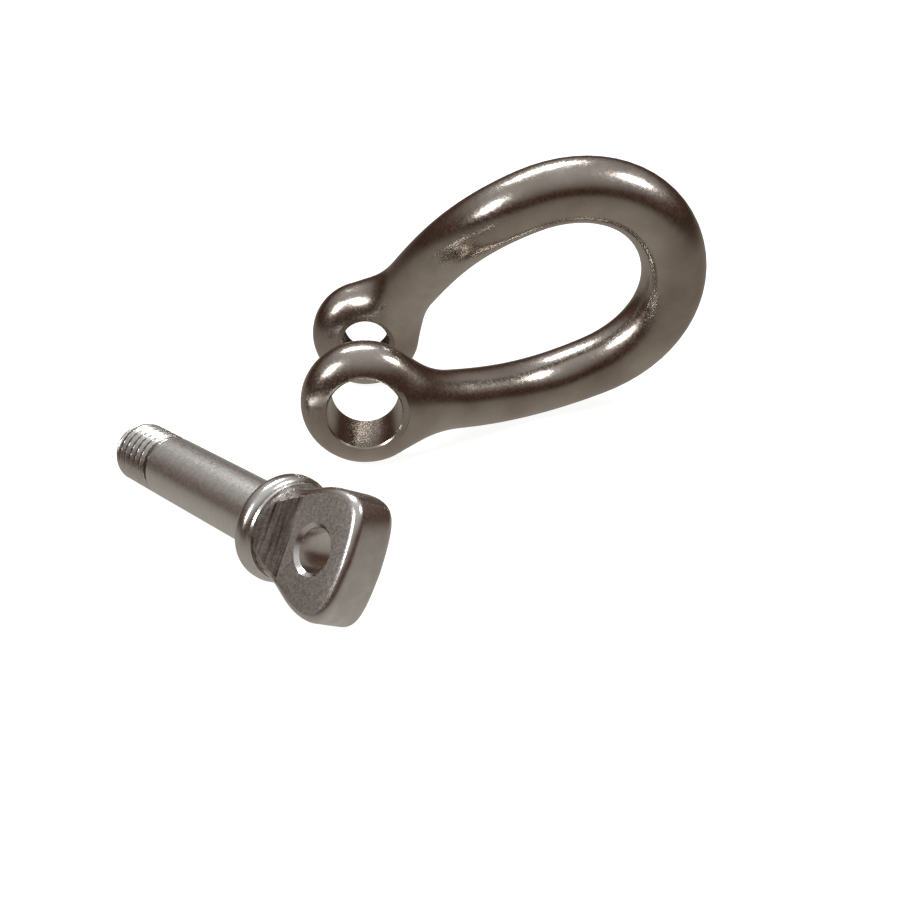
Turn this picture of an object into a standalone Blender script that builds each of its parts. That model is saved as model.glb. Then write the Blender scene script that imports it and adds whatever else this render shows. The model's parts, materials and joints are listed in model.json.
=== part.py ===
"""A forged twist shackle with its screw pin drawn out and laid down beside it.

Metres, +Z up, everything resting on the plane z = 0. The eyes' common axis runs along Y,
with the plain eye at -Y and the tapped eye at +Y. The bow reaches away along +X and twists
by a quarter turn on the way, so its crown stands across the eyes' axis. The origin is
under the middle of everything's bounding box.
"""

import math
from collections import namedtuple

import bmesh
import bpy
import numpy as np
from mathutils import Matrix, Vector

MM = 0.001

# ---- the bow: driving dimensions ----
BAR_RADIUS = 4.1 * MM  # round bar along the legs
CROWN_RADIUS = 4.5 * MM  # the same bar, left thicker round the crown
PLAIN_EYE_RADIUS = 8.6 * MM
PLAIN_EYE_HALF_WIDTH = 4.3 * MM  # of the forged eye before its faces are machined
TAPPED_EYE_RADIUS = 8.0 * MM
TAPPED_EYE_HALF_WIDTH = 4.3 * MM
EYE_SHAPE = 2.5  # 2 is an ellipsoid, and more is squarer
LAND_WIDTH = 0.9 * MM  # machined ring round each hole, on both faces of an eye
LAND_DEPTH = 0.13  # share of the half width that facing takes off
EYE_SPREAD = 12.1 * MM  # from the middle of the bow to the middle of each eye
BELLY_SPREAD = 13.7 * MM  # the same to the legs at their widest
BELLY_AT = 29.8 * MM  # how far along the bow its widest place is
CROWN_AT = 45.8 * MM  # from the eyes' axis to the middle of the bar at the crown
NECK_REACH = 12.2 * MM  # how long a leg takes to turn away from its eye
NECK_RISE = math.radians(23)  # how steeply it leaves, within the flat of the eye
BELLY_REACH = 13.4 * MM
CROWN_LENGTHWISE = 0.575  # shares of the crown's curve handles, so 0.55 and 0.55 make an ellipse
CROWN_SIDEWAYS = 0.57
TWIST = math.radians(95)  # from the plane of the eyes' axis to the plane of the crown
NECK_BLEND = 3.0 * MM  # how softly the bar flows into an eye
BAR_STARTS_AT = 5.5 * MM  # inside the rim of each eye

# ---- the pin: driving dimensions ----
THREAD_PITCH = 1.25 * MM
THREAD_RADIUS = 4.0 * MM
THREAD_DEPTH = 0.65 * MM
THREAD_LENGTH = 8.6 * MM
SHANK_RADIUS = 4.0 * MM
SHANK_LENGTH = 2 * EYE_SPREAD  # so the collar and the thread's shoulder meet their eyes together
PLAIN_HOLE_OUTER = 5.0 * MM  # the mouth that the collar meets
PLAIN_HOLE_INNER = 4.6 * MM
COLLAR_RADIUS = 6.5 * MM
COLLAR_THICKNESS = 2.7 * MM
COLLAR_ROUND = 1.1 * MM
BOSS_RADIUS = 5.6 * MM
BOSS_LENGTH = 4.2 * MM
HEAD_LENGTH = 13.6 * MM
HEAD_HALF_WIDTH = 7.5 * MM
HEAD_HALF_THICKNESS = 2.9 * MM
HEAD_EDGE_ROUND = 0.8 * MM
LANYARD_HOLE_RADIUS = 2.6 * MM
LANYARD_HOLE_AT = 7.6 * MM  # from the collar's outer face

# ---- the two eyes ----
Eye = namedtuple("Eye", "name side radius half_width outer_hole inner_hole")
THREAD_CORE = THREAD_RADIUS - THREAD_DEPTH
PLAIN_EYE = Eye("plain_eye", -1, PLAIN_EYE_RADIUS, PLAIN_EYE_HALF_WIDTH, PLAIN_HOLE_OUTER, PLAIN_HOLE_INNER)
TAPPED_EYE = Eye("tapped_eye", 1, TAPPED_EYE_RADIUS, TAPPED_EYE_HALF_WIDTH, THREAD_CORE, THREAD_CORE)

# ---- where the pin lies ----
PIN_TIP = (-30.7 * MM, -13.2 * MM)  # the thread's end, seen from above
PIN_HEADING = math.radians(-51.0)  # from +X to the way the head points
PIN_ROLL = math.radians(147)

# ---- how finely it is cut into faces ----
BAR_SIDES = 24
PIN_SIDES = 32
CAP_RINGS = 9
LEG_RINGS = 22
CROWN_RINGS = 9
THREAD_SLICES = 5  # for each turn
SHARP = math.radians(35)
FARTHEST_SURFACE = 12.0 * MM  # no surface of the bow is farther than this from its middle line
RAY_STEPS = 61
OVERSHOOT = 2.0 * MM  # how far a cutter reaches past what it cuts


def clear_scene():
    for obj in list(bpy.data.objects):
        bpy.data.objects.remove(obj, do_unlink=True)


def steel(name, colour, roughness):
    material = bpy.data.materials.new(name)
    material.use_nodes = True
    shader = material.node_tree.nodes["Principled BSDF"]
    shader.inputs["Base Color"].default_value = (*colour, 1)
    shader.inputs["Metallic"].default_value = 1
    shader.inputs["Roughness"].default_value = roughness
    return material


def link(obj):
    bpy.context.scene.collection.objects.link(obj)
    return obj


def object_from(bm, name, material=None):
    """A smooth-shaded object of what bm holds, with its normals turned outwards."""
    bmesh.ops.recalc_face_normals(bm, faces=bm.faces)
    mesh = bpy.data.meshes.new(name)
    bm.to_mesh(mesh)
    bm.free()
    mesh.shade_smooth()
    mesh.set_sharp_from_angle(angle=SHARP)
    if material:
        mesh.materials.append(material)
    return link(bpy.data.objects.new(name, mesh))


def loft(bm, rings, first_point=None, last_point=None):
    """Skins rings of equally many points. An end closes on its point, or else with one flat face."""
    rows = [[bm.verts.new(point) for point in ring] for ring in rings]
    sides = len(rows[0])
    for row, following in zip(rows, rows[1:]):
        for i in range(sides):
            j = (i + 1) % sides
            bm.faces.new((row[i], row[j], following[j], following[i]))
    for row, point in ((rows[0], first_point), (rows[-1], last_point)):
        if point is None:
            bm.faces.new(row)
            continue
        tip = bm.verts.new(point)
        for i in range(sides):
            bm.faces.new((row[i], row[(i + 1) % sides], tip))


def hide_as_cutter(obj):
    obj.hide_render = True
    obj.display_type = "WIRE"
    return obj


def cone_cutter(name, low_radius, high_radius, low, high, sides=48):
    """A hidden cone or cylinder along Z from low to high."""
    bm = bmesh.new()
    angles = [2 * math.pi * i / sides for i in range(sides)]
    ends = ((low_radius, low), (high_radius, high))
    loft(bm, [[(r * math.cos(a), r * math.sin(a), z) for a in angles] for r, z in ends])
    return hide_as_cutter(object_from(bm, name))


def boolean(target, other, operation):
    modifier = target.modifiers.new(f"{operation.lower()} {other.name}", "BOOLEAN")
    modifier.operation = operation
    modifier.solver = "EXACT"
    modifier.object = other


# ---- the bow: its own X runs from the eyes' axis to the crown, and its own Y is the eyes' axis ----


def smoothstep(low, high, x):
    share = np.clip((x - low) / (high - low), 0, 1)
    return share * share * (3 - 2 * share)


def bezier(points, count):
    """Evenly numbered points on a cubic Bezier curve, both its ends among them."""
    a, b, c, d = (np.array(point) for point in points)
    share = np.linspace(0, 1, count)[:, None]
    rest = 1 - share
    return rest**3 * a + 3 * rest**2 * share * b + 3 * rest * share**2 * c + share**3 * d


def twist_at(x):
    return TWIST * smoothstep(0, BELLY_AT, x)


def bar_radius(x):
    """The bar thickens smoothly from the middle of the legs to the crown."""
    return BAR_RADIUS + (CROWN_RADIUS - BAR_RADIUS) * smoothstep(BELLY_AT / 2, CROWN_AT, x)


def half_line():
    """The tapped side's half of the bar's middle line, from the eye's middle to the crown."""
    across = np.array((0, math.cos(TWIST), math.sin(TWIST)))
    belly = (BELLY_AT, *BELLY_SPREAD * across[1:])
    leg = (
        (0, EYE_SPREAD, 0),
        (NECK_REACH * math.cos(NECK_RISE), EYE_SPREAD, NECK_REACH * math.sin(NECK_RISE)),
        (BELLY_AT - BELLY_REACH, *belly[1:]),
        belly,
    )
    crown = (
        belly,
        (BELLY_AT + CROWN_LENGTHWISE * (CROWN_AT - BELLY_AT), *belly[1:]),
        (CROWN_AT, *CROWN_SIDEWAYS * BELLY_SPREAD * across[1:]),
        (CROWN_AT, 0, 0),
    )
    return np.concatenate((bezier(leg, LEG_RINGS)[:-1], bezier(crown, CROWN_RINGS)))


def on_side(vectors, side):
    """Half a turn about X takes the tapped side to the plain one."""
    return vectors * (1, side, side)


def outside_bar(points):
    """How far outside the round bar the points are."""
    half = half_line()
    half = half[half[:, 0] > BAR_STARTS_AT]
    line = np.concatenate((on_side(half, -1), half[-2::-1]))
    start, run = line[:-1], np.diff(line, axis=0)
    from_start = points[..., None, :] - start
    share = np.clip((from_start * run).sum(-1) / (run * run).sum(-1), 0, 1)
    nearest = start + share[..., None] * run
    gap = np.linalg.norm(points[..., None, :] - nearest, axis=-1)
    return (gap - bar_radius(nearest[..., 0])).min(-1)


def outside_eye(points, eye):
    """Roughly how far outside the eye's rounded bead the points are."""
    off_axis = np.hypot(points[..., 0], points[..., 2]) / eye.radius
    across = np.abs(points[..., 1] - eye.side * EYE_SPREAD) / eye.half_width
    size = (off_axis**EYE_SHAPE + across**EYE_SHAPE) ** (1 / EYE_SHAPE)
    return (size - 1) * eye.half_width


def outside_bow(points):
    """Bar and eyes flowing into one another, as one distance: negative inside the metal."""
    gap = outside_bar(points)
    for eye in (PLAIN_EYE, TAPPED_EYE):
        other = outside_eye(points, eye)
        overlap = np.maximum(NECK_BLEND - np.abs(gap - other), 0) / NECK_BLEND
        gap = np.minimum(gap, other) - overlap * overlap * NECK_BLEND / 4
    return gap


def surface_ring(middle, across, upwards):
    """The points of one section: where rays from its middle leave the metal."""
    angles = 2 * np.pi * np.arange(BAR_SIDES) / BAR_SIDES
    rays = np.cos(angles)[:, None] * across + np.sin(angles)[:, None] * upwards
    steps = np.linspace(0, FARTHEST_SURFACE, RAY_STEPS)
    gaps = outside_bow(middle + rays[:, None] * steps[:, None])
    after = np.argmax(gaps > 0, axis=1)
    sides = np.arange(BAR_SIDES)
    inner, outer = gaps[sides, after - 1], gaps[sides, after]
    reach = steps[after] - outer / (outer - inner) * (steps[1] - steps[0])
    return middle + rays * reach[:, None]


def half_rings(eye):
    """The sections of one half, from behind its eye to the crown."""
    line = half_line()
    course = np.gradient(line, axis=0)
    course[-1] = (0, -math.cos(TWIST), -math.sin(TWIST))
    course /= np.linalg.norm(course, axis=1)[:, None]
    turned = smoothstep(0, 1.5 * eye.radius, line[:, :1])
    course = (1 - turned) * (1, 0, 0) + turned * course
    behind = [(-eye.radius * math.cos(math.pi / 2 * i / CAP_RINGS), EYE_SPREAD, 0) for i in range(1, CAP_RINGS)]
    line = np.concatenate((behind, line))
    course = np.concatenate(([(1, 0, 0)] * len(behind), course))
    twist = twist_at(line[:, 0])
    normal = np.stack((0 * twist, -np.sin(twist), np.cos(twist)), axis=1)
    across = np.cross(course, normal)
    across /= np.linalg.norm(across, axis=1)[:, None]
    upwards = np.cross(across, course)
    upwards /= np.linalg.norm(upwards, axis=1)[:, None]
    sections = (on_side(vectors, eye.side) for vectors in (line, across, upwards))
    return [surface_ring(*section) for section in zip(*sections)]


def resting_tilt(middle_height):
    """How far the crown end is lifted when the bow lies on its eyes and its lower leg."""
    x, _, z = on_side(half_line(), -1).T
    beyond = x > BAR_STARTS_AT
    low, high = 0, math.pi / 4
    for _ in range(30):
        tilt = (low + high) / 2
        underside = middle_height + x * math.sin(tilt) + z * math.cos(tilt) - bar_radius(x)
        low, high = (low, tilt) if underside[beyond].min() > 0 else (tilt, high)
    return high


def bow_placement():
    across = Vector((0, 2 * EYE_SPREAD, TAPPED_EYE.radius - PLAIN_EYE.radius)).normalized()
    middle = Vector((0, 0, (PLAIN_EYE.radius + TAPPED_EYE.radius) / 2))
    tilt = resting_tilt(middle.z)
    along = Vector((math.cos(tilt), 0, math.sin(tilt)))
    along = (along - along.dot(across) * across).normalized()
    turn = Matrix((along, across, along.cross(across))).transposed().to_4x4()
    return Matrix.Translation(middle) @ turn


def make_bow():
    plain = [np.roll(ring[::-1], 1, axis=0) for ring in half_rings(PLAIN_EYE)]
    rings = half_rings(TAPPED_EYE) + plain[-2::-1]
    bm = bmesh.new()
    loft(bm, rings, (-TAPPED_EYE.radius, EYE_SPREAD, 0), (-PLAIN_EYE.radius, -EYE_SPREAD, 0))
    bow = object_from(bm, "bow", steel("polished_forging", (0.33, 0.30, 0.28), 0.22))
    bow.matrix_world = bow_placement()
    return bow


def eye_tool_placement(eye, way):
    """Stands a cutter on an eye's middle, with the cutter's +Z pointing out of the bow if way is 1."""
    centre = Matrix.Translation((0, eye.side * EYE_SPREAD, 0))
    return bow_placement() @ centre @ Matrix.Rotation(-eye.side * way * math.pi / 2, 4, "X")


def face_eye(bow, eye):
    """Machines the flat ring round the hole on both faces of the eye."""
    start = eye.half_width * (1 - LAND_DEPTH)
    end = eye.half_width + OVERSHOOT
    for face, way in (("outer", 1), ("inner", -1)):
        radius = max(eye.outer_hole, eye.inner_hole) + LAND_WIDTH
        cutter = cone_cutter(f"{eye.name}_{face}_facing", radius, radius, start, end)
        cutter.matrix_world = eye_tool_placement(eye, way)
        boolean(bow, cutter, "DIFFERENCE")


def bore_eye(bow, eye):
    """Cuts the hole right through the eye. The plain one narrows a little inwards."""
    reach = eye.half_width + OVERSHOOT
    drill = cone_cutter(f"{eye.name}_drill", eye.inner_hole, eye.outer_hole, -reach, reach)
    drill.matrix_world = eye_tool_placement(eye, 1)
    boolean(bow, drill, "DIFFERENCE")


# ---- the pin: its own Z runs from the thread's end to the head, and starts under the collar ----


def thread_radius(along, angle):
    """The thread's height at a place on it: a rounded V that runs out at both ends."""
    turn = along / THREAD_PITCH - angle / (2 * math.pi)
    wave = (1 + math.cos(2 * math.pi * turn)) / 2
    run_in = min(along / THREAD_PITCH, 1)
    run_out = min((THREAD_LENGTH - along) / THREAD_PITCH, 1)
    return THREAD_CORE + THREAD_DEPTH * (wave * min(run_in, run_out) if run_out > 0 else 0)


def turned_rings():
    """Sections of everything that is turned: thread, shank, collar and the boss under the head."""
    angles = [2 * math.pi * i / PIN_SIDES for i in range(PIN_SIDES)]
    bottom = -(THREAD_LENGTH + SHANK_LENGTH)
    slices = round(THREAD_LENGTH / THREAD_PITCH * THREAD_SLICES)
    rings = []
    for i in range(slices + 1):
        along = THREAD_LENGTH * i / slices
        rings.append([(thread_radius(along, a), a, bottom + along) for a in angles])
    chamfer = 0.3 * MM
    profile = [(SHANK_RADIUS - chamfer, -SHANK_LENGTH), (SHANK_RADIUS, -SHANK_LENGTH + chamfer)]
    profile += [(SHANK_RADIUS, 0), (COLLAR_RADIUS - COLLAR_ROUND, 0)]
    profile += rounded_rim(COLLAR_RADIUS, COLLAR_ROUND, 0, COLLAR_THICKNESS)
    profile += [(BOSS_RADIUS, COLLAR_THICKNESS), (BOSS_RADIUS, COLLAR_THICKNESS + BOSS_LENGTH)]
    rings += [[(radius, a, z) for a in angles] for radius, z in profile]
    return [[(r * math.cos(a), r * math.sin(a), z) for r, a, z in ring] for ring in rings]


def rounded_rim(radius, round_radius, low, high, steps=4):
    """(radius, z) round a rim that is rounded on both its edges."""
    points = []
    for centre, first in ((low + round_radius, -math.pi / 2), (high - round_radius, 0)):
        for i in range(steps + 1):
            angle = first + math.pi / 2 * i / steps
            across = radius - round_radius + round_radius * math.cos(angle)
            points.append((across, centre + round_radius * math.sin(angle)))
    return points[1:]


def head_outline():
    """The head's outline as (across, along) points: it flares from the boss to two round corners."""
    half = HEAD_HALF_WIDTH
    flare = (
        (BOSS_RADIUS - 0.3 * MM, 0.8 * MM),
        (BOSS_RADIUS, 0.3 * HEAD_LENGTH),
        (half, 0.4 * HEAD_LENGTH),
        (half, 0.68 * HEAD_LENGTH),
    )
    corner = (
        (half, 0.68 * HEAD_LENGTH),
        (half, 0.86 * HEAD_LENGTH),
        (0.72 * half, 0.97 * HEAD_LENGTH),
        (0, HEAD_LENGTH),
    )
    side = np.concatenate((bezier(flare, 7)[:-1], bezier(corner, 9)))
    return np.concatenate((side, side[-2::-1] * (-1, 1)))


def make_head():
    """The flat head, standing on the collar with its width along X and its thickness along Y."""
    outline = head_outline()
    bm = bmesh.new()
    rings = []
    for y in (-HEAD_HALF_THICKNESS, HEAD_HALF_THICKNESS):
        rings.append([(across, y, COLLAR_THICKNESS + along) for across, along in outline])
    loft(bm, rings)
    edges = [edge for edge in bm.edges if edge.verts[0].co.y == edge.verts[1].co.y]
    bmesh.ops.bevel(
        bm, geom=edges, offset=HEAD_EDGE_ROUND, segments=2, profile=0.5, affect="EDGES", clamp_overlap=True
    )
    return hide_as_cutter(object_from(bm, "head_blank"))


def ramp_cutter(side):
    """Cuts the boss away beside one flat of the head, down a slope from the collar."""
    rise = BOSS_RADIUS - HEAD_HALF_THICKNESS
    low = COLLAR_THICKNESS + 0.3 * MM
    high = COLLAR_THICKNESS + BOSS_LENGTH
    wide = BOSS_RADIUS + OVERSHOOT
    section = (
        (side * BOSS_RADIUS, low),
        (side * (BOSS_RADIUS - rise), high - 0.8 * MM),
        (side * (BOSS_RADIUS - rise), high + OVERSHOOT),
        (side * (BOSS_RADIUS + OVERSHOOT), high + OVERSHOOT),
        (side * (BOSS_RADIUS + OVERSHOOT), low),
    )
    bm = bmesh.new()
    loft(bm, [[(x, y, z) for y, z in section] for x in (-wide, wide)])
    return hide_as_cutter(object_from(bm, f"ramp_cutter_{'left' if side < 0 else 'right'}"))


def pin_tilt():
    """The pin lies on its thread's end and on its collar or its head, whichever reaches lower."""
    across, along = head_outline().T
    cosine, sine = abs(math.cos(PIN_ROLL)), abs(math.sin(PIN_ROLL))
    flat_reach = np.abs(across) - HEAD_EDGE_ROUND
    depth = flat_reach * cosine + (HEAD_HALF_THICKNESS - HEAD_EDGE_ROUND) * sine + HEAD_EDGE_ROUND
    collar_at = THREAD_LENGTH + SHANK_LENGTH
    depths = np.append(depth, COLLAR_RADIUS)
    places = np.append(collar_at + COLLAR_THICKNESS + along, collar_at + COLLAR_THICKNESS / 2)
    return float(np.arctan2(depths - THREAD_RADIUS, places).max())


def pin_placement():
    tilt = pin_tilt()
    lean = Matrix.Rotation(math.pi / 2 - tilt, 4, "Y")
    turn = Matrix.Rotation(PIN_HEADING, 4, "Z")
    tip = Matrix.Translation((*PIN_TIP, THREAD_RADIUS * math.cos(tilt)))
    roll = Matrix.Rotation(PIN_ROLL, 4, "Z")
    return tip @ turn @ lean @ Matrix.Translation((0, 0, THREAD_LENGTH + SHANK_LENGTH)) @ roll


def make_pin():
    bm = bmesh.new()
    loft(bm, turned_rings())
    pin = object_from(bm, "screw_pin", steel("machined_steel", (0.42, 0.41, 0.40), 0.3))
    ramps = [ramp_cutter(-1), ramp_cutter(1)]
    head = make_head()
    reach = BOSS_RADIUS + OVERSHOOT
    radius = LANYARD_HOLE_RADIUS
    drill = cone_cutter("lanyard_drill", radius, radius, -reach, reach, sides=32)
    placement = pin_placement()
    for obj in (pin, head, *ramps):
        obj.matrix_world = placement
    lanyard = Matrix.Translation((0, 0, COLLAR_THICKNESS + LANYARD_HOLE_AT))
    drill.matrix_world = placement @ lanyard @ Matrix.Rotation(math.pi / 2, 4, "X")
    for ramp in ramps:
        boolean(pin, ramp, "DIFFERENCE")
    boolean(pin, head, "UNION")
    boolean(pin, drill, "DIFFERENCE")
    return pin


def world_points(obj):
    """Every vertex of the object as its modifiers leave it, in world space."""
    evaluated = obj.evaluated_get(bpy.context.evaluated_depsgraph_get())
    points = np.array([evaluated.matrix_world @ vertex.co for vertex in evaluated.to_mesh().vertices])
    evaluated.to_mesh_clear()
    return points


def centre_on_origin(pieces):
    """Parents every object to one empty, and moves it so that the pieces stand centred on the origin."""
    bpy.context.view_layer.update()
    points = np.concatenate([world_points(piece) for piece in pieces])
    low, high = points.min(0), points.max(0)
    stand = link(bpy.data.objects.new("shackle", None))
    for obj in bpy.data.objects:
        if obj is not stand:
            obj.parent = stand
    stand.location = (-(low[0] + high[0]) / 2, -(low[1] + high[1]) / 2, -low[2])


def main():
    clear_scene()
    bow = make_bow()
    for eye in (PLAIN_EYE, TAPPED_EYE):
        face_eye(bow, eye)
        bore_eye(bow, eye)
    pin = make_pin()
    centre_on_origin((bow, pin))


main()
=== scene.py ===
"""The looks of a twisted bow shackle and its screw pin, which lies beside it.

Both CAD nodes are replaced by finer meshes of the same formulas, because their facets would show. The
head is a little squarer and rounder-edged than in the CAD model, and both threads are cut in full.
The bow's own X runs from the eyes' axis to the crown and its own Y is the eyes' axis. The pin's
own Z runs from the thread's end to the head and starts under the collar. Metres throughout.
"""

import json
import math
from collections import namedtuple

import bmesh
import bpy
import numpy as np
from mathutils import Matrix, Vector


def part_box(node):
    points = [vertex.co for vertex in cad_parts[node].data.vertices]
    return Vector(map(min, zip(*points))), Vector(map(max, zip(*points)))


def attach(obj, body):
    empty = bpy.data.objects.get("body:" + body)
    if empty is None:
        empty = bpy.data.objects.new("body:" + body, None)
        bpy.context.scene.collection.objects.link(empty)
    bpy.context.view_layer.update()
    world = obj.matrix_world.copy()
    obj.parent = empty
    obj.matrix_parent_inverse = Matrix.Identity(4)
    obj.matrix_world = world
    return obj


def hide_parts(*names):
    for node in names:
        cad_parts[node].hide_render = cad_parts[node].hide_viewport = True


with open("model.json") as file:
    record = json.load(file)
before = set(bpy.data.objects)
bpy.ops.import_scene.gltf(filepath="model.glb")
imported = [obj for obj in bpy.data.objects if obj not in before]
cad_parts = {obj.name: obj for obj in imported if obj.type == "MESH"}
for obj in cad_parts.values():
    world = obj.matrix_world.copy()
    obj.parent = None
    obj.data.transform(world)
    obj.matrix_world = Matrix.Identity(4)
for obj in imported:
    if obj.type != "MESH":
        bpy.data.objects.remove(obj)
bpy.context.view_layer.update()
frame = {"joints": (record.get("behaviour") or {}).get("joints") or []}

MM = 0.001

# ---- the bow: the CAD model's dimensions ----
BAR_RADIUS = 4.1 * MM
CROWN_RADIUS = 4.5 * MM
PLAIN_EYE_RADIUS = 8.6 * MM
PLAIN_EYE_HALF_WIDTH = 4.3 * MM
TAPPED_EYE_RADIUS = 8.0 * MM
TAPPED_EYE_HALF_WIDTH = 4.3 * MM
EYE_SHAPE = 2.5
LAND_WIDTH = 0.9 * MM
LAND_DEPTH = 0.13
EYE_SPREAD = 12.1 * MM
BELLY_SPREAD = 13.7 * MM
BELLY_AT = 29.8 * MM
CROWN_AT = 45.8 * MM
NECK_REACH = 12.2 * MM
NECK_RISE = math.radians(23)
BELLY_REACH = 13.4 * MM
CROWN_LENGTHWISE = 0.575
CROWN_SIDEWAYS = 0.57
TWIST = math.radians(95)
NECK_BLEND = 3.0 * MM
BAR_STARTS_AT = 5.5 * MM

# ---- the pin: the CAD model's dimensions ----
THREAD_PITCH = 1.25 * MM
THREAD_RADIUS = 4.0 * MM
THREAD_DEPTH = 0.65 * MM
THREAD_LENGTH = 8.6 * MM
SHANK_RADIUS = 4.0 * MM
SHANK_LENGTH = 2 * EYE_SPREAD  # so the collar and the thread's shoulder meet their eyes together
PLAIN_HOLE_OUTER = 5.0 * MM
PLAIN_HOLE_INNER = 4.6 * MM
COLLAR_RADIUS = 6.5 * MM
COLLAR_THICKNESS = 2.7 * MM
COLLAR_ROUND = 1.1 * MM
BOSS_RADIUS = 5.6 * MM
BOSS_LENGTH = 4.2 * MM
HEAD_LENGTH = 13.6 * MM
HEAD_HALF_WIDTH = 7.5 * MM
HEAD_HALF_THICKNESS = 2.9 * MM
LANYARD_HOLE_RADIUS = 2.6 * MM
LANYARD_HOLE_AT = 7.6 * MM
PIN_ROLL = math.radians(147)

Eye = namedtuple("Eye", "name side radius half_width outer_hole inner_hole")
THREAD_CORE = THREAD_RADIUS - THREAD_DEPTH
PLAIN_EYE = Eye("plain_eye", -1, PLAIN_EYE_RADIUS, PLAIN_EYE_HALF_WIDTH, PLAIN_HOLE_OUTER, PLAIN_HOLE_INNER)
TAPPED_EYE = Eye("tapped_eye", 1, TAPPED_EYE_RADIUS, TAPPED_EYE_HALF_WIDTH, THREAD_CORE, THREAD_CORE)

# ---- finish ----
MOUTH_CHAMFER = 0.18 * MM  # broken edge round every drilled hole
LANYARD_CHAMFER = 0.45 * MM
STEP_RADIUS = 5.95 * MM  # thin turned ring round the boss, on the collar
STEP_HEIGHT = 0.25 * MM
HEAD_EDGE_ROUND = 1.0 * MM
SHOULDER_CHAMFER = 0.3 * MM
RAMP_START = 0.3 * MM  # above the collar
TAP_DEPTH_SHARE = 0.8  # depth of the tapped eye's thread, as a share of the pin's
ROOT_SHADE_SHARE = 0.45  # how far up the thread's flanks the painted shade of its roots reaches

# ---- how finely it is cut into faces ----
BAR_SIDES = 72
CAP_RINGS = 22
LEG_RINGS = 96
CROWN_RINGS = 48
PIN_SIDES = 128
HEAD_EDGE_STEPS = 8
THREAD_SLICES = 24  # for each turn
HOLE_SIDES = 128
FARTHEST_SURFACE = 12.0 * MM
RAY_STEPS = 49
BISECTIONS = 14
SHARP = math.radians(32)
OVERSHOOT = 2.0 * MM
HAIR = 0.02 * MM  # slack for deciding which surface a face is on
COLLAR_HAIR = 0.001 * MM  # the same at the collar's two faces
RAMP_HAIR = 0.05 * MM  # and where a ramp runs into its flat
FLAT_ALIGNED = 0.97  # how much of its normal lies along the axis, on a face of the head's flats
COLLAR_ALIGNED = 0.98  # and on the collar's two faces, so that their rounded rim keeps its own steel

# ---- the view: the camera's place is measured from under the middle of the eyes' axis ----
CAMERA_FROM_EYES = Vector((6.3, -167.6, 87.2)) * MM
CAMERA_YAW = 0.031
CAMERA_PITCH = -0.507
CAMERA_ROLL = -0.043
CAMERA_LENS = 51.8
SENSOR = 36.0

# ---- the stage ----
FLOOR_DROP = 0.05 * MM  # below the plane that the shackle lies on
FLOOR_HALF_SIZE = 8.0
SOFTBOXES = (  # place, size and power
    ((-0.05, 0.25, 0.42), (0.26, 0.07), 1.5),
    ((0.30, -0.05, 0.35), (0.10, 0.12), 0.7),
    ((-0.32, -0.20, 0.28), (0.09, 0.16), 0.8),
)
SURROUNDINGS = (  # colour of what the steel mirrors, from straight below to straight above
    (0.0, (0.42, 0.385, 0.345)),
    (0.40, (0.28, 0.25, 0.22)),
    (0.52, (0.06, 0.034, 0.025)),
    (0.66, (0.10, 0.050, 0.034)),
    (0.78, (0.32, 0.30, 0.28)),
    (1.0, (0.62, 0.61, 0.60)),
)

# ---- the steels: name, dark and light tone, smooth and rough grain, tool marks, depth of the marks ----
# Tool marks are noise, and its three scales are how fast it changes along the piece's own X, Y and Z.
PIN_STEELS = (
    ("turned_steel", (0.74, 0.75, 0.74), (0.92, 0.93, 0.92), (0.26, 0.36), (500, 500, 9000), 0.002 * MM),
    ("thread_steel", (0.66, 0.65, 0.64), (0.86, 0.85, 0.84), (0.22, 0.34), (600, 600, 3000), 0.002 * MM),
    ("polished_rim", (0.68, 0.67, 0.66), (0.82, 0.81, 0.80), (0.18, 0.28), (500, 500, 500), 0.002 * MM),
    ("collar_face", (0.40, 0.38, 0.36), (0.52, 0.50, 0.48), (0.40, 0.50), (900, 900, 900), 0.004 * MM),
    ("sandy_flat", (0.42, 0.41, 0.39), (0.70, 0.68, 0.66), (0.34, 0.44), (3600, 3600, 3600), 0.010 * MM),
    # milled_ramp_painted_shade: milled tool marks on the ramps, with painted shade in their dark stripes in
    # the crease under the head
    ("milled_ramp_painted_shade", (0.12, 0.09, 0.08), (0.66, 0.62, 0.60), (0.24, 0.40), (150, 2400, 2400), 0.010 * MM),
    # thread_root_painted_shade: painted shade, a far darker steel down in the thread's grooves where shade
    # falls
    ("thread_root_painted_shade", (0.12, 0.10, 0.09), (0.22, 0.19, 0.18), (0.30, 0.40), (600, 600, 3000), 0.002 * MM),
)
SHANK, THREAD, RIM, COLLAR_FACE, FLAT, RAMP_WITH_PAINTED_SHADE, PAINTED_ROOT_SHADE = range(len(PIN_STEELS))
BORED_STEEL = (
    "bored_steel", (0.50, 0.48, 0.44), (0.66, 0.64, 0.59), (0.36, 0.5), (400, 2600, 400), 0.004 * MM
)
FORGED_TONES = ((0.30, (0.36, 0.31, 0.27)), (0.55, (0.47, 0.43, 0.39)), (0.75, (0.55, 0.51, 0.47)))


# ---- small mesh tools ----


def link(obj):
    bpy.context.scene.collection.objects.link(obj)
    return obj


def object_from(bm, name):
    bmesh.ops.recalc_face_normals(bm, faces=bm.faces)
    mesh = bpy.data.meshes.new(name)
    bm.to_mesh(mesh)
    bm.free()
    return link(bpy.data.objects.new(name, mesh))


def loft(bm, rings, first_point=None, last_point=None):
    """Skins rings of equally many points. An end closes on its point, or else with one flat face."""
    rows = [[bm.verts.new(point) for point in ring] for ring in rings]
    sides = len(rows[0])
    for row, following in zip(rows, rows[1:]):
        for i in range(sides):
            j = (i + 1) % sides
            bm.faces.new((row[i], row[j], following[j], following[i]))
    for row, point in ((rows[0], first_point), (rows[-1], last_point)):
        if point is None:
            bm.faces.new(row)
            continue
        tip = bm.verts.new(point)
        for i in range(sides):
            bm.faces.new((row[i], row[(i + 1) % sides], tip))


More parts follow.
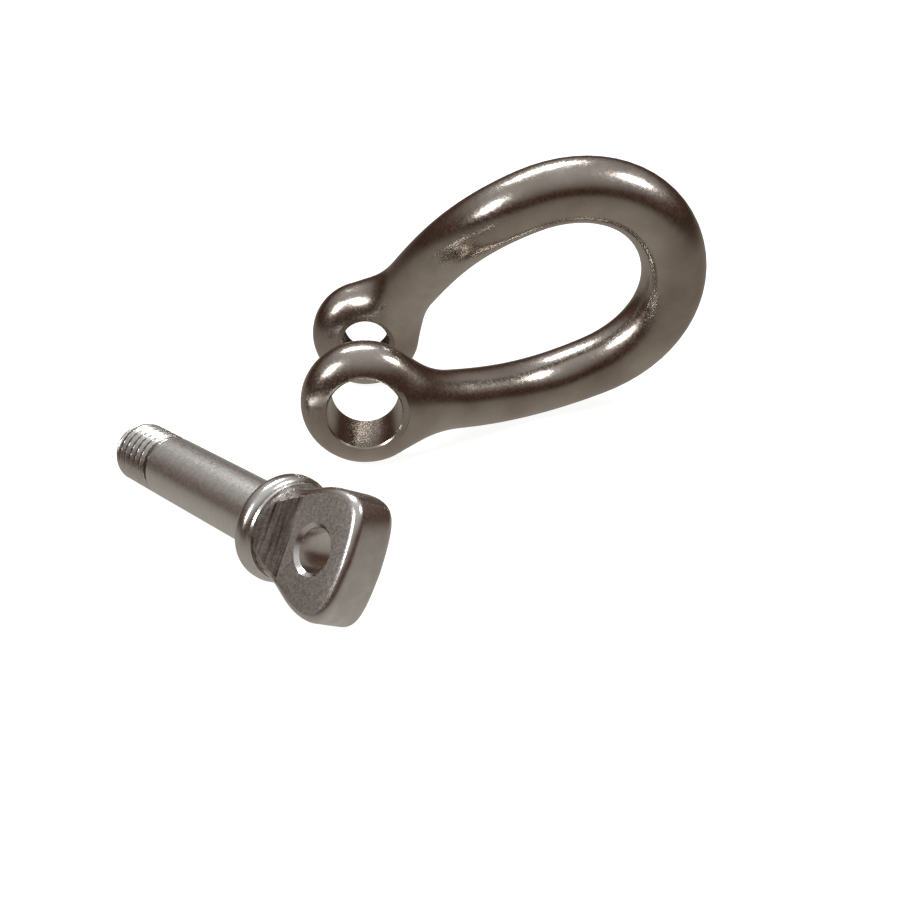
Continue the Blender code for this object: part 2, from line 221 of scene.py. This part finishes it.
def turned(name, profile, sides=HOLE_SIDES):
    """A solid of revolution about Z through the (radius, height) points."""
    bm = bmesh.new()
    angles = [2 * math.pi * i / sides for i in range(sides)]
    loft(bm, [[(r * math.cos(a), r * math.sin(a), z) for a in angles] for r, z in profile])
    return object_from(bm, name)


def boolean(target, other, operation):
    modifier = target.modifiers.new(f"{operation.lower()} {other.name}", "BOOLEAN")
    modifier.operation = operation
    modifier.solver = "EXACT"
    modifier.object = other


def apply_modifiers(obj, helpers):
    """Keeps the shape that the modifiers give, and removes the helpers that they used."""
    bpy.context.view_layer.update()
    graph = bpy.context.evaluated_depsgraph_get()
    mesh = bpy.data.meshes.new_from_object(obj.evaluated_get(graph))
    obj.modifiers.clear()
    obj.data = mesh
    for helper in helpers:
        bpy.data.objects.remove(helper, do_unlink=True)


def bake_place(obj, matrix):
    """Moves the mesh itself, so that the object stays at the origin as the CAD nodes do."""
    obj.data.transform(matrix)
    obj.data.shade_smooth()
    obj.data.set_sharp_from_angle(angle=SHARP)


def smoothstep(low, high, x):
    share = np.clip((x - low) / (high - low), 0, 1)
    return share * share * (3 - 2 * share)


def bezier(points, count):
    """Evenly numbered points on a cubic Bezier curve, both its ends among them."""
    a, b, c, d = (np.array(point) for point in points)
    share = np.linspace(0, 1, count)[:, None]
    rest = 1 - share
    return rest**3 * a + 3 * rest**2 * share * b + 3 * rest * share**2 * c + share**3 * d


# ---- materials ----


def ramp(tree, source, stops):
    """A colour ramp over (place, grey or colour) stops."""
    made = tree.nodes.new("ShaderNodeValToRGB")
    tree.links.new(source, made.inputs["Fac"])
    elements = made.color_ramp.elements
    for element, (place, value) in zip(elements, (stops[0], stops[-1])):
        element.position = place
        element.color = colour(value)
    for place, value in stops[1:-1]:
        elements.new(place).color = colour(value)
    return made.outputs["Color"]


def colour(value):
    return (*value, 1) if isinstance(value, tuple) else (value, value, value, 1)


def object_space(tree, placement=None, scale=(1, 1, 1)):
    """Object coordinates, or with a placement the piece's own coordinates, stretched by scale."""
    source = tree.nodes.new("ShaderNodeTexCoord").outputs["Object"]
    if placement:
        mapping = tree.nodes.new("ShaderNodeMapping")
        mapping.vector_type = "TEXTURE"
        mapping.inputs["Location"].default_value = placement.translation
        mapping.inputs["Rotation"].default_value = placement.to_euler()
        tree.links.new(source, mapping.inputs["Vector"])
        source = mapping.outputs["Vector"]
    stretch = tree.nodes.new("ShaderNodeMapping")
    stretch.inputs["Scale"].default_value = scale
    tree.links.new(source, stretch.inputs["Vector"])
    return stretch.outputs["Vector"]


def noise(tree, vector, scale, detail=4, roughness=0.55):
    made = tree.nodes.new("ShaderNodeTexNoise")
    made.inputs["Scale"].default_value = scale
    made.inputs["Detail"].default_value = detail
    made.inputs["Roughness"].default_value = roughness
    tree.links.new(vector, made.inputs["Vector"])
    return made.outputs["Fac"]


def bump(tree, height, depth, normal=None):
    made = tree.nodes.new("ShaderNodeBump")
    made.inputs["Strength"].default_value = 1
    made.inputs["Distance"].default_value = depth
    tree.links.new(height, made.inputs["Height"])
    if normal:
        tree.links.new(normal, made.inputs["Normal"])
    return made.outputs["Normal"]


def metal(name):
    """A metallic Principled material and its tree."""
    material = bpy.data.materials.new(name)
    material.use_nodes = True
    shader = material.node_tree.nodes["Principled BSDF"]
    shader.inputs["Metallic"].default_value = 1
    return material, material.node_tree, shader


def connect(tree, shader, base, roughness, normal):
    tree.links.new(base, shader.inputs["Base Color"])
    tree.links.new(roughness, shader.inputs["Roughness"])
    tree.links.new(normal, shader.inputs["Normal"])


def tumbled_steel():
    """The forging: warm grey, softly dimpled by tumbling, with a little brown in its low places."""
    material, tree, shader = metal("tumbled_steel")
    space = object_space(tree)
    cloud = noise(tree, space, 110)
    grain = noise(tree, space, 2600, detail=3)
    dimples = noise(tree, space, 520, detail=2)
    base = ramp(tree, cloud, FORGED_TONES)
    roughness = ramp(tree, grain, ((0.25, 0.14), (0.75, 0.30)))
    normal = bump(tree, dimples, 0.008 * MM)
    connect(tree, shader, base, roughness, bump(tree, grain, 0.004 * MM, normal))
    return material


def machined_steel(placement, name, dark, light, roughness, marks, depth):
    """Cut steel with its tool marks, laid along the axes of the piece at placement."""
    material, tree, shader = metal(name)
    lines = noise(tree, object_space(tree, placement, marks), 1, detail=3)
    grain = noise(tree, object_space(tree), 3200, detail=2)
    base = ramp(tree, lines, ((0.3, dark), (0.7, light)))
    rough = ramp(tree, grain, ((0.25, roughness[0]), (0.75, roughness[1])))
    connect(tree, shader, base, rough, bump(tree, lines, depth))
    return material


# ---- the bow ----


def twist_at(x):
    return TWIST * smoothstep(0, BELLY_AT, x)


def bar_radius(x):
    """The bar thickens smoothly from the middle of the legs to the crown."""
    return BAR_RADIUS + (CROWN_RADIUS - BAR_RADIUS) * smoothstep(BELLY_AT / 2, CROWN_AT, x)


def half_line():
    """The tapped side's half of the bar's middle line, from the eye's middle to the crown."""
    across = np.array((0, math.cos(TWIST), math.sin(TWIST)))
    belly = (BELLY_AT, *BELLY_SPREAD * across[1:])
    leg = (
        (0, EYE_SPREAD, 0),
        (NECK_REACH * math.cos(NECK_RISE), EYE_SPREAD, NECK_REACH * math.sin(NECK_RISE)),
        (BELLY_AT - BELLY_REACH, *belly[1:]),
        belly,
    )
    crown = (
        belly,
        (BELLY_AT + CROWN_LENGTHWISE * (CROWN_AT - BELLY_AT), *belly[1:]),
        (CROWN_AT, *CROWN_SIDEWAYS * BELLY_SPREAD * across[1:]),
        (CROWN_AT, 0, 0),
    )
    return np.concatenate((bezier(leg, LEG_RINGS)[:-1], bezier(crown, CROWN_RINGS)))


def on_side(vectors, side):
    """Half a turn about X takes the tapped side to the plain one."""
    return vectors * (1, side, side)


def outside_bar(points, line):
    """How far outside the round bar the points are."""
    start, run = line[:-1], np.diff(line, axis=0)
    from_start = points[..., None, :] - start
    share = np.clip((from_start * run).sum(-1) / (run * run).sum(-1), 0, 1)
    nearest = start + share[..., None] * run
    gap = np.linalg.norm(points[..., None, :] - nearest, axis=-1)
    return (gap - bar_radius(nearest[..., 0])).min(-1)


def outside_eye(points, eye):
    """Roughly how far outside the eye's rounded bead the points are."""
    off_axis = np.hypot(points[..., 0], points[..., 2]) / eye.radius
    across = np.abs(points[..., 1] - eye.side * EYE_SPREAD) / eye.half_width
    size = (off_axis**EYE_SHAPE + across**EYE_SHAPE) ** (1 / EYE_SHAPE)
    return (size - 1) * eye.half_width


def outside_bow(points, line):
    """Bar and eyes flowing into one another, as one distance: negative inside the metal."""
    gap = outside_bar(points, line)
    for eye in (PLAIN_EYE, TAPPED_EYE):
        other = outside_eye(points, eye)
        overlap = np.maximum(NECK_BLEND - np.abs(gap - other), 0) / NECK_BLEND
        gap = np.minimum(gap, other) - overlap * overlap * NECK_BLEND / 4
    return gap


def surface_ring(middle, across, upwards, line):
    """The points of one section: where rays from its middle leave the metal."""
    angles = 2 * np.pi * np.arange(BAR_SIDES) / BAR_SIDES
    rays = np.cos(angles)[:, None] * across + np.sin(angles)[:, None] * upwards
    steps = np.linspace(0, FARTHEST_SURFACE, RAY_STEPS)
    near = line[np.linalg.norm(line - middle, axis=1) < 2 * FARTHEST_SURFACE]
    gaps = outside_bow(middle + rays[:, None] * steps[:, None], near)
    after = np.argmax(gaps > 0, axis=1)
    low, high = steps[after - 1], steps[after]
    for _ in range(BISECTIONS):
        reach = (low + high) / 2
        inside = outside_bow(middle + rays * reach[:, None], near) < 0
        low, high = np.where(inside, reach, low), np.where(inside, high, reach)
    return middle + rays * reach[:, None]


def half_rings(eye, whole_line):
    """The sections of one half, from behind its eye to the crown."""
    line = half_line()
    course = np.gradient(line, axis=0)
    course[-1] = (0, -math.cos(TWIST), -math.sin(TWIST))
    course /= np.linalg.norm(course, axis=1)[:, None]
    turned_away = smoothstep(0, 1.5 * eye.radius, line[:, :1])
    course = (1 - turned_away) * (1, 0, 0) + turned_away * course
    turns = [math.pi / 2 * i / CAP_RINGS for i in range(1, CAP_RINGS)]
    behind = [(-eye.radius * math.cos(turn), EYE_SPREAD, 0) for turn in turns]
    line = np.concatenate((behind, line))
    course = np.concatenate(([(1, 0, 0)] * len(behind), course))
    twist = twist_at(line[:, 0])
    normal = np.stack((0 * twist, -np.sin(twist), np.cos(twist)), axis=1)
    across = np.cross(course, normal)
    across /= np.linalg.norm(across, axis=1)[:, None]
    upwards = np.cross(across, course)
    upwards /= np.linalg.norm(upwards, axis=1)[:, None]
    sections = (on_side(vectors, eye.side) for vectors in (line, across, upwards))
    return [surface_ring(*section, whole_line) for section in zip(*sections)]


def resting_tilt(middle_height):
    """How far the crown end is lifted when the bow lies on its eyes and its lower leg."""
    x, _, z = on_side(half_line(), -1).T
    beyond = x > BAR_STARTS_AT
    low, high = 0, math.pi / 4
    for _ in range(30):
        tilt = (low + high) / 2
        underside = middle_height + x * math.sin(tilt) + z * math.cos(tilt) - bar_radius(x)
        low, high = (low, tilt) if underside[beyond].min() > 0 else (tilt, high)
    return high


def bow_placement():
    """Where the bow lies, with the middle of the eyes' axis above the origin."""
    across = Vector((0, 2 * EYE_SPREAD, TAPPED_EYE.radius - PLAIN_EYE.radius)).normalized()
    middle = Vector((0, 0, (PLAIN_EYE.radius + TAPPED_EYE.radius) / 2))
    tilt = resting_tilt(middle.z)
    along = Vector((math.cos(tilt), 0, math.sin(tilt)))
    along = (along - along.dot(across) * across).normalized()
    turn = Matrix((along, across, along.cross(across))).transposed().to_4x4()
    return Matrix.Translation(middle) @ turn


def eye_tool_placement(eye, way):
    """Stands a cutter on an eye's middle, with the cutter's +Z pointing out of the bow if way is 1."""
    centre = Matrix.Translation((0, eye.side * EYE_SPREAD, 0))
    return centre @ Matrix.Rotation(-eye.side * way * math.pi / 2, 4, "X")


def facing_cutters(eye):
    """Cuts the flat ring round the hole on both faces of the eye."""
    start = eye.half_width * (1 - LAND_DEPTH)
    end = eye.half_width + OVERSHOOT
    radius = max(eye.outer_hole, eye.inner_hole) + LAND_WIDTH
    for face, way in (("outer", 1), ("inner", -1)):
        cutter = turned(f"{eye.name}_{face}_facing", ((radius, start), (radius, end)))
        cutter.matrix_world = eye_tool_placement(eye, way)
        yield cutter


def hole_profile(eye):
    """The drill for the plain hole, with the small chamfers at its mouths."""
    face = eye.half_width * (1 - LAND_DEPTH)
    far = eye.half_width + OVERSHOOT
    flare = far - face + MOUTH_CHAMFER
    return (
        (eye.inner_hole + flare, -far),
        (eye.inner_hole, -face + MOUTH_CHAMFER),
        (eye.outer_hole, face - MOUTH_CHAMFER),
        (eye.outer_hole + flare, far),
    )


def thread_wave(along, angle):
    """0 in the root and 1 on the crest of a right-hand thread with rounded crests."""
    turn = along / THREAD_PITCH - angle / (2 * math.pi)
    triangle = 1 - abs(2 * (turn % 1) - 1)
    return min(max(1.25 * triangle - 0.1, 0), 1)


def tap_cutter(eye):
    """Cuts the tapped hole with its thread."""
    reach = eye.half_width + 0.5 * MM
    slices = round(2 * reach / THREAD_PITCH * THREAD_SLICES)
    bm = bmesh.new()
    rings = []
    for i in range(slices + 1):
        along = 2 * reach * i / slices
        ring = []
        for k in range(PIN_SIDES):
            angle = 2 * math.pi * k / PIN_SIDES
            radius = eye.inner_hole + TAP_DEPTH_SHARE * THREAD_DEPTH * thread_wave(along, angle)
            ring.append((radius * math.cos(angle), radius * math.sin(angle), along - reach))
        rings.append(ring)
    loft(bm, rings)
    cutter = object_from(bm, "tap")
    cutter.matrix_world = eye_tool_placement(eye, 1)
    return cutter


def paint_bow(mesh):
    """Slot 1 on the machined faces: the bores and the flat rings round them."""
    for polygon in mesh.polygons:
        x, y, z = polygon.center
        for eye in (PLAIN_EYE, TAPPED_EYE):
            off_axis = math.hypot(x, z)
            edge = max(eye.outer_hole, eye.inner_hole) + LAND_WIDTH + HAIR
            in_eye = abs(y - eye.side * EYE_SPREAD) <= eye.half_width * (1 - LAND_DEPTH) + HAIR / 2
            if off_axis < edge and in_eye:
                polygon.material_index = 1


def make_bow():
    half = half_line()
    half = half[half[:, 0] > BAR_STARTS_AT][::3]
    half = np.concatenate((half, [(CROWN_AT, 0, 0)]))
    whole_line = np.concatenate((on_side(half, -1), half[-2::-1]))
    plain = [np.roll(ring[::-1], 1, axis=0) for ring in half_rings(PLAIN_EYE, whole_line)]
    rings = half_rings(TAPPED_EYE, whole_line) + plain[-2::-1]
    bm = bmesh.new()
    loft(bm, rings, (-TAPPED_EYE.radius, EYE_SPREAD, 0), (-PLAIN_EYE.radius, -EYE_SPREAD, 0))
    bow = object_from(bm, "forged_bow")
    drill = turned("plain_hole_drill", hole_profile(PLAIN_EYE))
    drill.matrix_world = eye_tool_placement(PLAIN_EYE, 1)
    helpers = [*facing_cutters(PLAIN_EYE), *facing_cutters(TAPPED_EYE), drill, tap_cutter(TAPPED_EYE)]
    for helper in helpers:
        boolean(bow, helper, "DIFFERENCE")
    apply_modifiers(bow, helpers)
    return bow


# ---- the pin ----


def thread_radius(along, angle):
    """The thread's height at a place on it. It runs out at both ends."""
    run_in = min(along / THREAD_PITCH, 1)
    run_out = max(min((THREAD_LENGTH - along) / (0.6 * THREAD_PITCH), 1), 0)
    return THREAD_CORE + THREAD_DEPTH * thread_wave(along, angle) * min(run_in, run_out)


def rounded_rim(radius, round_radius, low, high, steps=10):
    """(radius, z) round a rim that is rounded on both its edges."""
    points = []
    for centre, first in ((low + round_radius, -math.pi / 2), (high - round_radius, 0)):
        for i in range(steps + 1):
            angle = first + math.pi / 2 * i / steps
            across = radius - round_radius + round_radius * math.cos(angle)
            points.append((across, centre + round_radius * math.sin(angle)))
    return points[1:]


def turned_rings():
    """Sections of everything that is turned: thread, shank, collar and the boss under the head."""
    angles = [2 * math.pi * i / PIN_SIDES for i in range(PIN_SIDES)]
    bottom = -(THREAD_LENGTH + SHANK_LENGTH)
    slices = round(THREAD_LENGTH / THREAD_PITCH * THREAD_SLICES)
    rings = []
    for i in range(slices + 1):
        along = THREAD_LENGTH * i / slices
        rings.append([(thread_radius(along, a), a, bottom + along) for a in angles])
    profile = [(SHANK_RADIUS - SHOULDER_CHAMFER, -SHANK_LENGTH)]
    profile += [(SHANK_RADIUS, -SHANK_LENGTH + SHOULDER_CHAMFER)]
    profile += [(SHANK_RADIUS, 0), (COLLAR_RADIUS - COLLAR_ROUND, 0)]
    profile += rounded_rim(COLLAR_RADIUS, COLLAR_ROUND, 0, COLLAR_THICKNESS)
    step = COLLAR_THICKNESS + STEP_HEIGHT
    profile += [(STEP_RADIUS, COLLAR_THICKNESS), (STEP_RADIUS - STEP_HEIGHT / 2, step)]
    profile += [(BOSS_RADIUS, step), (BOSS_RADIUS, COLLAR_THICKNESS + BOSS_LENGTH)]
    rings += [[(radius, a, z) for a in angles] for radius, z in profile]
    return [[(r * math.cos(a), r * math.sin(a), z) for r, a, z in ring] for ring in rings]


def head_outline():
    """The head's outline as (across, along) points: it flares from the boss to two round corners."""
    half = HEAD_HALF_WIDTH
    flare = (
        (BOSS_RADIUS - 0.3 * MM, 0.8 * MM),
        (BOSS_RADIUS, 0.3 * HEAD_LENGTH),
        (half, 0.4 * HEAD_LENGTH),
        (half, 0.68 * HEAD_LENGTH),
    )
    corner = (
        (half, 0.68 * HEAD_LENGTH),
        (half, 0.92 * HEAD_LENGTH),
        (0.80 * half, 0.985 * HEAD_LENGTH),
        (0, HEAD_LENGTH),
    )
    side = np.concatenate((bezier(flare, 25)[:-1], bezier(corner, 33)))
    return np.concatenate((side, side[-2::-1] * (-1, 1)))


def make_head():
    """The flat head, standing on the collar with its width along X and its thickness along Y."""
    outline = head_outline()
    course = np.gradient(outline, axis=0)
    course /= np.linalg.norm(course, axis=1)[:, None]
    outwards = np.stack((course[:, 1], -course[:, 0]), axis=1)
    sections = []
    for i in range(HEAD_EDGE_STEPS + 1):
        turn = math.pi / 2 * i / HEAD_EDGE_STEPS
        sunk = HEAD_EDGE_ROUND * (1 - math.cos(turn))
        sections.append((HEAD_EDGE_ROUND * (1 - math.sin(turn)), sunk - HEAD_HALF_THICKNESS))
    sections += [(inset, -y) for inset, y in sections[::-1]]
    bm = bmesh.new()
    rings = []
    for inset, y in sections:
        rings.append([(across, y, COLLAR_THICKNESS + along) for across, along in outline - inset * outwards])
    loft(bm, rings)
    return object_from(bm, "head_blank")


def ramp_cutter(side):
    """Cuts the boss away beside one flat of the head, down a slope from the collar."""
    low = COLLAR_THICKNESS + RAMP_START
    high = COLLAR_THICKNESS + BOSS_LENGTH
    wide = BOSS_RADIUS + OVERSHOOT
    section = (
        (side * BOSS_RADIUS, low),
        (side * HEAD_HALF_THICKNESS, high - 0.8 * MM),
        (side * HEAD_HALF_THICKNESS, high + OVERSHOOT),
        (side * (BOSS_RADIUS + OVERSHOOT), high + OVERSHOOT),
        (side * (BOSS_RADIUS + OVERSHOOT), low),
    )
    bm = bmesh.new()
    loft(bm, [[(x, y, z) for y, z in section] for x in (-wide, wide)])
    return object_from(bm, f"ramp_cutter_{'left' if side < 0 else 'right'}")


def lanyard_profile():
    radius = LANYARD_HOLE_RADIUS
    far = BOSS_RADIUS + OVERSHOOT
    mouth = HEAD_HALF_THICKNESS
    flare = far - mouth + LANYARD_CHAMFER
    return (
        (radius + flare, -far),
        (radius, -mouth + LANYARD_CHAMFER),
        (radius, mouth - LANYARD_CHAMFER),
        (radius + flare, far),
    )


def pin_steel(centre, normal):
    """Which of the pin's steels a face has."""
    off_axis = math.hypot(centre.x, centre.y)
    above = centre.z - COLLAR_THICKNESS
    if centre.z < -SHANK_LENGTH + HAIR:
        # faces low in the thread's grooves take the painted root shade
        return THREAD if off_axis > THREAD_CORE + ROOT_SHADE_SHARE * THREAD_DEPTH else PAINTED_ROOT_SHADE
    if centre.z > -COLLAR_HAIR and above < COLLAR_HAIR and off_axis > SHANK_RADIUS:
        return COLLAR_FACE if abs(normal.z) > COLLAR_ALIGNED else RIM
    if centre.z <= 0:
        return SHANK
    if above < STEP_HEIGHT + HAIR / 2 and normal.z > 0.5:
        return COLLAR_FACE
    beside = abs(centre.y) > HEAD_HALF_THICKNESS - RAMP_HAIR and RAMP_START - HAIR < above < BOSS_LENGTH
    # the ramps beside the flats take the milled steel with its painted shade
    if beside and 0.3 < abs(normal.y) < FLAT_ALIGNED:
        return RAMP_WITH_PAINTED_SHADE
    return FLAT if abs(normal.y) > FLAT_ALIGNED else RIM


def paint_pin(mesh):
    for polygon in mesh.polygons:
        polygon.material_index = pin_steel(polygon.center, polygon.normal)


def make_pin():
    bm = bmesh.new()
    loft(bm, turned_rings())
    pin = object_from(bm, "turned_pin")
    ramps = [ramp_cutter(-1), ramp_cutter(1)]
    head = make_head()
    drill = turned("lanyard_drill", lanyard_profile())
    lanyard = Matrix.Translation((0, 0, COLLAR_THICKNESS + LANYARD_HOLE_AT))
    drill.matrix_world = lanyard @ Matrix.Rotation(math.pi / 2, 4, "X")
    for cutter in ramps:
        boolean(pin, cutter, "DIFFERENCE")
    boolean(pin, head, "UNION")
    boolean(pin, drill, "DIFFERENCE")
    apply_modifiers(pin, [*ramps, head, drill])
    return pin


def pin_placement():
    """The pin's place, from its joint, with the head's width rolled about its axis."""
    joint = frame["joints"][0]
    away = Vector(joint["axis"]).normalized()
    level = Vector((-away.y, away.x, 0)).normalized()
    down = level.cross(away)
    rolled = Matrix((down, level, away)).transposed().to_4x4()
    return Matrix.Translation(joint["pos_m"]) @ rolled @ Matrix.Rotation(PIN_ROLL, 4, "Z")


# ---- the stage ----


def add_softbox(place, size, power):
    """A soft box that faces the middle of the shackle."""
    data = bpy.data.lights.new("softbox", "AREA")
    data.shape = "RECTANGLE"
    data.size, data.size_y = size
    data.energy = power
    lamp = link(bpy.data.objects.new("softbox", data))
    lamp.location = place
    lamp.rotation_euler = (-Vector(place)).to_track_quat("-Z", "Y").to_euler()


def make_floor():
    """A white floor for the camera. The steel mirrors the surroundings instead of it."""
    bm = bmesh.new()
    bmesh.ops.create_grid(bm, x_segments=1, y_segments=1, size=FLOOR_HALF_SIZE)
    floor = object_from(bm, "floor")
    floor.location.z = -FLOOR_DROP
    material = bpy.data.materials.new("floor")
    material.use_nodes = True
    shader = material.node_tree.nodes["Principled BSDF"]
    shader.inputs["Base Color"].default_value = (0.3, 0.3, 0.3, 1)
    shader.inputs["Roughness"].default_value = 0.9
    shader.inputs["Emission Color"].default_value = (1, 1, 1, 1)
    shader.inputs["Emission Strength"].default_value = 0.92
    floor.data.materials.append(material)
    floor.visible_glossy = False


def make_world():
    """What the polished steel mirrors: grey below, a dark brown horizon, and grey again overhead."""
    world = bpy.data.worlds.new("studio")
    world.use_nodes = True
    tree = world.node_tree
    direction = tree.nodes.new("ShaderNodeTexCoord").outputs["Generated"]
    parts = tree.nodes.new("ShaderNodeSeparateXYZ")
    tree.links.new(direction, parts.inputs["Vector"])
    height = tree.nodes.new("ShaderNodeMapRange")
    height.inputs["From Min"].default_value = -1
    tree.links.new(parts.outputs["Z"], height.inputs["Value"])
    sky = ramp(tree, height.outputs["Result"], SURROUNDINGS)
    tree.links.new(sky, tree.nodes["Background"].inputs["Color"])
    bpy.context.scene.world = world


def make_camera(eyes):
    data = bpy.data.cameras.new("camera")
    data.lens = CAMERA_LENS
    data.sensor_width = SENSOR
    data.clip_start = 0.001
    camera = link(bpy.data.objects.new("camera", data))
    turn = Matrix.Rotation(-CAMERA_YAW, 4, "Z") @ Matrix.Rotation(math.pi / 2 + CAMERA_PITCH, 4, "X")
    camera.matrix_world = (
        Matrix.Translation(eyes + CAMERA_FROM_EYES) @ turn @ Matrix.Rotation(CAMERA_ROLL, 4, "Z")
    )
    bpy.context.scene.camera = camera


# ---- putting it together ----


def box_middle(corners):
    return (Vector(corners[0]) + Vector(corners[1])) / 2


def mesh_middle(mesh):
    points = np.array([vertex.co for vertex in mesh.vertices])
    return Vector((points.min(0) + points.max(0)) / 2)


def main():
    bow = make_bow()
    paint_bow(bow.data)
    bake_place(bow, bow_placement())
    shift = box_middle(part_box("bow")) - mesh_middle(bow.data)
    bow.data.transform(Matrix.Translation(shift))
    placed = Matrix.Translation(shift) @ bow_placement()
    bow.data.materials.clear()
    bow.data.materials.append(tumbled_steel())
    bow.data.materials.append(machined_steel(placed, *BORED_STEEL))
    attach(bow, "bow")
    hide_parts("bow")

    place = pin_placement()
    pin = make_pin()
    paint_pin(pin.data)
    bake_place(pin, place)
    for steel in PIN_STEELS:
        pin.data.materials.append(machined_steel(place, *steel))
    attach(pin, "screw_pin")
    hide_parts("screw_pin")

    eyes = Vector((shift.x, shift.y, 0))
    make_floor()
    make_world()
    for softbox in SOFTBOXES:
        add_softbox(*softbox)
    make_camera(eyes)
    bpy.context.scene.view_settings.view_transform = "Standard"


main()
